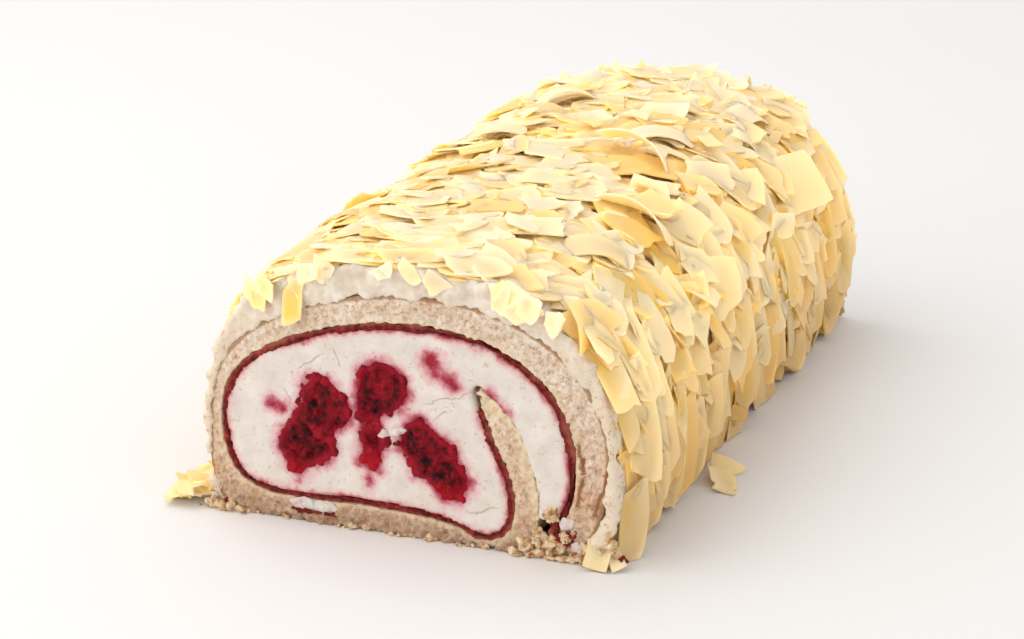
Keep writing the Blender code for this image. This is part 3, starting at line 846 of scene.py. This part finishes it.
def lay(
    plate, size, walk, station, turn, bed=0.0, tilt=0.0, roll=0.0, gutter=0.05, curl=15.0, twist=0.0, tone=0.5, proud=1.5
):
    """Lays a copy of a plate on the unrolled coat and rolls it up.

    Its size is its width and length. Its length points downhill, turned by an angle in degrees
    that sends the right end of a shaving to the far end of the roll. The tilt raises its downhill
    end and the roll the side that is farther from the front cut, in degrees. The curl is one over
    the radius that it is bent to along its length, the gutter is its hollow across. The heap has
    only so much depth there, and the shaving keeps to it, but for standing proud by so many
    millimetres. The bed is the share of the depth that is left under the shaving."""
    width, length = size
    if proud < 6:
        # On the crown they lie flatter than on the walls.
        calm = np.interp(abs(walk / GIRTH - 0.5), (0.12, 0.24), (0.45, 1))
        tilt, roll, gutter = tilt * calm, roll * calm, gutter * calm
    across, along, up = flat_points(plate, width, length)
    arc = along * curl
    under = up < 0
    along, up = np.sin(arc) / curl - up * np.sin(arc), (1 - np.cos(arc)) / curl + up * np.cos(arc)
    up = up + gutter * width * (2 * across / width) ** 2 + twist * across * along / length
    down = -1 if walk < GIRTH / 2 else 1
    lean = Matrix.Rotation(math.radians(-down * roll), 3, "Y") @ Matrix.Rotation(math.radians(tilt), 3, "X")
    across, along, up = np.array(lean) @ np.stack([across, along, up])
    cosine, sine = math.cos(math.radians(turn)), math.sin(math.radians(turn))
    stations = station + down * (across * cosine - along * sine)
    # Nothing sticks out of the cuts by more than a little, and the left wall's ends were wiped clean.
    wiped = float(np.interp(walk / GIRTH, (0.70, 0.80), (-OVERHANG, WIPED)))
    stations += max(FRONT_Y + wiped - stations.min(), 0) - max(stations.max() - (BACK_Y - wiped), 0)
    walks = walk + down * (across * sine + along * cosine)
    if proud < 6 and any(abs(walk - w) < a and abs(station - t) < b for w, t, a, b in HOLLOWS):
        return None
    floor = float(heights(coat_reach, walk, stations.mean()))
    depth = float(heights(heap_reach, walk, stations.mean())) - floor
    if depth < LEAST_DEPTH and proud < 2:
        return None
    # The wiping also pressed the left wall's shavings flat near the cuts.
    from_cut = min(stations.mean() - FRONT_Y, BACK_Y - stations.mean())
    pressed = np.interp(walk / GIRTH, (0.6, 0.74), (0, 1)) * np.interp(from_cut, (0, 40 * MM), (0.6, 0))
    up = (up - up.min()) * (1 - pressed)
    up *= min((depth + proud * MM) / up.max(), 1.0)
    up += floor + bed * max(depth * (1 - pressed) - up.max(), 0)
    share = (up - floor) / max(depth, 2 * MM)
    return new_flake(plate, rolled_up(walks, stations, up), rise=share, tone=tone, under=under)


OVERHANG, WIPED, LEAST_DEPTH = 1.5 * MM, 12 * MM, 0.8 * MM
# Where the big arched ones leave a hollow, and where the cream stayed bare: a walk and a station, and
# how far to each side of them.
HOLLOWS = [(79 * MM, FRONT_Y + 98 * MM, 13 * MM, 9 * MM), (66 * MM, FRONT_Y + 61 * MM, 12 * MM, 8 * MM)]
HOLLOWS += [
    (walk * MM, FRONT_Y + station * MM, 6 * MM, 4.5 * MM)
    for walk, station in ((56, 50), (40, 31), (22, 84), (48, 112), (150, 60), (128, 120), (168, 95))
]
chance = random.Random(8)


# %% Shingle the walls and heap the crown
ROW_STEP, ROW_SPACING = 10 * MM, 7.5 * MM


def lean_of(walk):
    """Which way the shavings point at a walk: nearly downhill on the walls, askew on the crown."""
    crown = 1 - abs(walk - GIRTH / 2) / (GIRTH / 2)
    return 6 + 18 * crown**2


def shingles():
    """Rows of slats from each foot to the crown, each row lying on the one below it."""
    made = []
    rows = round(GIRTH / 2 / ROW_STEP)
    for row in range(rows):
        for down in (-1, 1):
            for k in range(round((BACK_Y - FRONT_Y) / ROW_SPACING)):
                length = chance.uniform(14, 29) * MM
                climb = length * 0.46 + row * ROW_STEP * 0.97 + chance.gauss(0, 2.0) * MM
                walk = climb if down < 0 else GIRTH - climb
                made.append(lay(
                    chance.choice(plates["slat"]), (chance.uniform(4, 10) * MM, length),
                    walk, FRONT_Y + (k + chance.random()) * ROW_SPACING,
                    lean_of(walk) + chance.gauss(0, 13),
                    bed=chance.uniform(0, 0.6), tilt=chance.uniform(2, 12), roll=chance.uniform(-12, 26),
                    gutter=chance.uniform(-0.10, 0.13), curl=chance.uniform(4, 30),
                    twist=chance.uniform(-0.2, 0.2), tone=chance.random(),
                ))
    return made


def handful(kind, count, walks, stations, width, length, turn, bed, tilt, roll, curl, proud=1.5):
    """Shavings of one kind thrown on the coat between two shares of the girth and of the length.

    Sizes are in millimetres and angles in degrees. The turn is given as its middle and spread,
    and comes on top of the way that the shavings point there."""
    made = []
    for _ in range(count):
        walk = GIRTH * chance.uniform(*walks)
        long = chance.uniform(*length)
        made.append(lay(
            chance.choice(plates[kind]), (min(chance.uniform(*width), 0.95 * long) * MM, long * MM),
            walk, FRONT_Y + (BACK_Y - FRONT_Y) * chance.uniform(*stations),
            lean_of(walk) + chance.gauss(*turn), bed=chance.uniform(*bed), tilt=chance.uniform(*tilt),
            roll=chance.uniform(*roll), gutter=chance.uniform(-0.10, 0.10), curl=chance.uniform(*curl),
            twist=chance.uniform(-0.25, 0.25), tone=chance.random(), proud=proud,
        ))
    return made


ALL, TOP, LOOSE = (0, 1), (0.6, 1.0), (0.7, 1.0)
slats = shingles()
slats += handful("slat", 60, (0.02, 0.98), ALL, (7, 12), (16, 30), (0, 18), LOOSE, (2, 10), (-8, 20), (4, 40))
slats += handful("slat", 50, (0.03, 0.26), ALL, (5, 9), (12, 26), (-6, 12), LOOSE, (2, 12), (5, 40), (4, 24), 2.5)
slats += handful("slat", 50, (0.74, 0.97), ALL, (6, 11), (14, 26), (-6, 12), LOOSE, (2, 8), (-34, 8), (4, 24))
slats += handful("slat", 16, (0.28, 0.41), (0.02, 0.25), (8, 11), (20, 30), (-60, 14), LOOSE, (2, 8), (-5, 15), (4, 20))
slats += handful("slat", 16, (0.28, 0.72), (0.75, 0.98), (8, 11), (20, 30), (60, 14), LOOSE, (2, 8), (-5, 15), (4, 20))
slats += handful("slat", 12, (0.55, 0.72), (0, 0.05), (6, 10), (12, 22), (-30, 30), TOP, (0, 6), (-5, 10), (4, 20), 2.5)
shards = handful("shard", 90, (0.05, 0.95), ALL, (6, 12), (8, 16), (0, 45), TOP, (3, 16), (-15, 28), (5, 40))
shards += handful("shard", 70, (0.2, 0.44), ALL, (8, 13), (9, 15), (0, 50), TOP, (5, 26), (8, 42), (5, 50), 2.5)
shards += handful("shard", 60, (0.56, 0.8), ALL, (8, 13), (9, 15), (0, 50), TOP, (5, 26), (-38, 8), (5, 50))
curls = handful("curl", 9, (0.3, 0.45), (0.2, 0.9), (6, 9), (14, 20), (0, 25), TOP, (-4, 8), (-5, 5), (-90, -60), 4)
curls += handful("curl", 7, (0.55, 0.7), (0.1, 0.8), (6, 9), (14, 20), (0, 25), TOP, (-4, 8), (-5, 5), (-90, -60), 4)
chips = handful("chip", 280, (0.01, 0.99), ALL, (2.5, 6), (4, 10), (0, 60), (0.4, 1.0), (-20, 40), (-15, 15), (-40, 60))


def single(kind, cut, size, walk, station, turn, shaded=False, proud=8, **bends):
    """One shaving that has its own place: sizes, its walk and its station are in millimetres.

    A shaded one lies under others, and is painted as yellow all over as the others' undersides, a painted glow."""
    width, length = size
    flake = lay(
        plates[kind][cut], (width * MM, length * MM), walk * MM, FRONT_Y + station * MM, turn, proud=proud, **bends
    )
    if flake and shaded:
        for name, value in (("under", 1.0), ("rim", 0.0), ("rise", 0.1)):
            flake.data.attributes[name].data.foreach_set("value", [value] * len(flake.data.vertices))
    return flake


# The big ones that stand out on the right side: long slats hanging by the cut, a broad shard near
# the far end, two arched curls with a shard beside each, and flakes at the foot.
slats += [
    single("slat", 1, (11, 27), 31, 12, -4, bed=1, tilt=5, roll=26, curl=10),
    single("slat", 4, (10, 30), 28, 24, 2, bed=1, tilt=6, roll=24, curl=14),
    single("slat", 2, (10, 22), 44, 18, -8, bed=1, tilt=6, roll=26, curl=12),
    single("slat", 5, (9, 24), 31, 38, 5, bed=1, tilt=5, roll=22, curl=12),
    single("slat", 8, (9, 19), 20, 58, -6, bed=1, tilt=6, roll=24, curl=10),
    single("slat", 7, (8, 16), 10, 19, 8, bed=1, tilt=8, roll=26, curl=12),
    single("slat", 0, (9, 29), 68, 46, -55, bed=1, tilt=4, roll=8, curl=12),
    single("slat", 3, (11, 28), 64, 20, -62, bed=1, tilt=5, roll=5, curl=10),
]
shards += [
    single("shard", 1, (17, 15), 48, 141, 4, bed=1, tilt=14, roll=38, curl=10),
    single("shard", 3, (16, 14), 43, 72, -10, bed=1, tilt=6, roll=30, curl=12),
    single("shard", 6, (11, 10), 58, 75, 30, bed=1, tilt=12, roll=40, curl=20),
    single("shard", 8, (11, 11), 69, 80, 10, bed=0.6, tilt=14, roll=20, curl=25),
    single("shard", 4, (9, 10), 9, 127, 10, bed=1, tilt=14, roll=34, curl=12),
    single("shard", 2, (12, 12), 131, 4, -30, bed=1, tilt=6, roll=10, curl=10, tone=0.0),
    single("slat", 10, (9, 17), 9, 5, 4, bed=1, tilt=14, roll=30, curl=10, tone=1.0),
    single("shard", 5, (7, 9), 5, 2, 20, bed=1, tilt=10, roll=10, curl=10, tone=0.2),
]
# Deep yellow ones that show through gaps between the others, painted with the yellow glow all over.
shards += [
    single(
        "shard", chance.randrange(12), (chance.uniform(8, 13), chance.uniform(8, 13)), chance.uniform(18, 178),
        chance.uniform(6, 174), chance.uniform(0, 90), True, 2, bed=chance.uniform(0.5, 0.9), tilt=6, roll=8, curl=12
    ) for _ in range(70)
]
# The floors of the two hollows under the arched ones, and other gaps, painted with the same yellow glow.
shards += [
    single("shard", k % 12, (13, 13), walk, station, 25 * k, shaded=True, bed=bed, tilt=3, curl=5)
    for k, (walk, station, bed) in enumerate([
        (84, 100, 0.6), (74, 98, 0.5), (80, 92, 0.8), (90, 106, 0.3), (72, 106, 0.2),
        (70, 62, 0.6), (61, 60, 0.5), (66, 55, 0.8), (76, 66, 0.3), (58, 68, 0.2),
    ])
]
curls += [
    single("curl", 1, (9, 23), 79, 103, -14, bed=0.4, tilt=-8, roll=-30, curl=-58, twist=0.3, tone=1.0, proud=6.01),
    single("curl", 3, (8, 20), 66, 65, -16, bed=0.4, tilt=8, roll=-32, curl=-62, twist=-0.3, tone=1.0, proud=6.01),
]


# %% Let some hang over the rims of the cuts
def hung(count, walks, deep, cut, sizes=((3, 7), (4, 11)), rise=(0.5, 1.5)):
    """Shavings that sagged over a cut: their walks as shares of the girth, and how deep they hang, in millimetres."""
    made = []
    for _ in range(count):
        kind = chance.choice(plates["shard"])
        width, length = (chance.uniform(*size) * MM for size in sizes)
        across, along, up = flat_points(kind, width, length)
        outside = 1 if cut > 0 else -1
        up = up + chance.uniform(0.03, 0.16) * width * (2 * across / width) ** 2
        turn, tilt = math.radians(chance.gauss(0, 32)), math.radians(chance.uniform(2, 22))
        # The lower end stands off the cut, and the upper end is pressed into the heap.
        lifted = np.maximum(along * math.sin(tilt) + length * 0.2, 0)
        out, along = lifted + up, along * math.cos(tilt)
        across, along = across * math.cos(turn) - along * math.sin(turn), across * math.sin(turn) + along * math.cos(turn)
        walk, sunk = GIRTH * chance.uniform(*walks), chance.uniform(*deep) * MM + length / 2
        x, z, out_x, out_z = (float(np.interp(walk, walked, c)) for c in (*section.T, *outwards.T))
        places = np.stack([
            x - out_x * (sunk + along) + out_z * across,
            cut + outside * (chance.uniform(-0.2, 0.8) * MM + out - out.min()),
            z - out_z * (sunk + along) - out_x * across,
        ], 1)
        made.append(new_flake(kind, places, rise=chance.uniform(*rise), tone=chance.uniform(0.4, 1), under=0.0))
    return made


for cut in (FRONT_Y, BACK_Y):
    shards += hung(8, (0.60, 0.70), (-3.4, -1.5), cut, ((3, 6), (3, 7))) + hung(8, (0.30, 0.40), (-4.5, -3), cut, ((3, 6), (3, 8)))
    shards += hung(3, (0.44, 0.59), (-2, -1.2), cut, ((4, 8), (3, 5)))
    shards += hung(1, (0.655, 0.655), (1, 1), cut, ((5, 5), (10, 10)), (0.1, 0.1))


# %% Drop some on the table
def dropped(kind, size, x, station, pose, lift=0.0):
    """One that fell off: its sizes, place and lift in millimetres, and its turns about X, Y and Z in degrees."""
    plate = chance.choice(plates[kind])
    across, along, up = flat_points(plate, size[0] * MM, size[1] * MM)
    up = up + 0.12 * size[0] * MM * (2 * across / (size[0] * MM)) ** 2
    turned = Matrix.Rotation(math.radians(pose[2]), 3, "Z") @ Matrix.Rotation(math.radians(pose[1]), 3, "Y")
    turned = np.array(turned @ Matrix.Rotation(math.radians(pose[0]), 3, "X"))
    places = (turned @ np.stack([across, along, up])).T
    places += (MIDDLE_X + x * MM, FRONT_Y + station * MM, (0.2 + lift) * MM - places[:, 2].min())
    flake = new_flake(plate, places, rise=2.0, tone=chance.uniform(0.5, 1), under=0.0)
    # It is painted pale all over with the painted rim highlight.
    flake.data.attributes["rim"].data.foreach_set("value", [1.0] * len(places))
    return flake


# A small heap at the left front foot, some by the right corner, a few in front of the right wall,
# and a few more behind the roll.
for _ in range(44):
    out = chance.random()
    shards.append(dropped(
        "chip", (chance.uniform(2, 5), chance.uniform(2.5, 6)), -53 - 9 * out, chance.uniform(-1.5, 12),
        [chance.uniform(-35, 35) for _ in range(2)] + [chance.uniform(0, 180)], chance.uniform(0, 6) * (1 - out)
    ))
shards += [
    dropped("chip", (6, 6), 48.5, -1.6, (58, 8, 8)), dropped("chip", (4, 5), 52.5, -0.6, (40, -20, 30)),
    dropped("shard", (7, 9), 58.5, 56, (8, 12, 30)), dropped("chip", (6, 7), 57.0, 62, (14, -14, 80)),
    dropped("chip", (6, 5), 60.5, 52, (6, 12, 10)), dropped("shard", (7, 8), -58, 96, (8, 12, 50)),
    dropped("shard", (8, 7), -30, 182.5, (62, 5, 180)), dropped("chip", (6, 6), 20, 183, (10, 8, 40)),
]

# %% Melt the colours of white chocolate
white_chocolate, chocolate_shader = new_material(
    "white_chocolate", Roughness=0.42, Subsurface_Weight=0.85, Subsurface_Scale=0.0026
)
chocolate_shader.subsurface_method = "BURLEY"
chocolate_shader.inputs["Subsurface Radius"].default_value = (1.0, 0.9, 0.34)
# Painted glow: the deeper a shaving lies in the heap, the deeper yellow it is painted, for the light that comes through
# the shavings over it.
depth = add_node(
    white_chocolate, "MapRange", Value=attribute(white_chocolate, "rise"), From_Min=0.1, From_Max=1.0
).outputs["Result"]
butter = ramp(white_chocolate, depth, (0.0, "#FFCE48"), (0.5, "#FFE08A"), (1.0, "#FFEDBE"))
# Painted glow: a shaving is lit through from above, so its underside is painted yellow, and its thin rim is painted
# pale.
butter = mix(white_chocolate, calculate(
    white_chocolate, "MULTIPLY", attribute(white_chocolate, "under"), 0.85
), butter, linear("#FFD450"))
# Painted light: on top the shavings are painted palest, where the lamp lights them most, and low on the walls they are
# painted a little darker, as painted shade.
painted_top_light = add_node(
    white_chocolate, "MapRange", Value=height_of(white_chocolate), From_Min=46 * MM, From_Max=66 * MM
).outputs["Result"]
share = add_node(white_chocolate, "MapRange", Value=depth, To_Min=0.4, To_Max=0.85).outputs["Result"]
butter = mix(white_chocolate, calculate(white_chocolate, "MULTIPLY", painted_top_light, share), butter, linear("#F6E6CC"))
# Painted highlight: the thin rims are painted paler.
butter = mix(white_chocolate, calculate(
    white_chocolate, "MULTIPLY", attribute(white_chocolate, "rim"), 0.45
), butter, linear("#FFF6D8"))
tones = ramp(white_chocolate, attribute(white_chocolate, "tone"), (0.0, "#FFE6A0"), (0.4, "#FFF8E4"), (1.0, "#FFFFFF"))
butter = mix(white_chocolate, 0.8, butter, tones, "MULTIPLY")
# Painted shade: lower down the walls the shavings are painted darker.
low = add_node(
    white_chocolate, "MapRange", Value=height_of(white_chocolate), From_Min=46 * MM, From_Max=10 * MM
).outputs["Result"]
# The painted shade is halved on those on the table, so they stay paler than those on the walls.
low = calculate(white_chocolate, "MULTIPLY", low, add_node(
    white_chocolate, "MapRange", Value=attribute(white_chocolate, "rise"), From_Min=1.6, From_Max=2.0, To_Min=1.0, To_Max=0.5
).outputs["Result"])
butter = mix(white_chocolate, low, butter, linear("#D8CAB6"), "MULTIPLY")
link(white_chocolate, butter, "Base Color")
bump(white_chocolate, speckle(white_chocolate, 1.0 * MM), 0.12 * MM, 0.3)

for made, name in ((slats, "slats"), (shards, "shards"), (curls, "curls"), (chips, "chips")):
    laid = [flake for flake in made if flake]
    print(f"{len(laid)} {name} laid")
    piece = join(laid, f"chocolate_{name}")
    piece.data.materials.clear()
    piece.data.materials.append(white_chocolate)
    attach(piece, "root")
    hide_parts("chocolate_shavings")
    print(f"{piece.name}: {triangles(piece)} triangles")
for kind in plates.values():
    for plate in kind:
        bpy.data.objects.remove(plate)
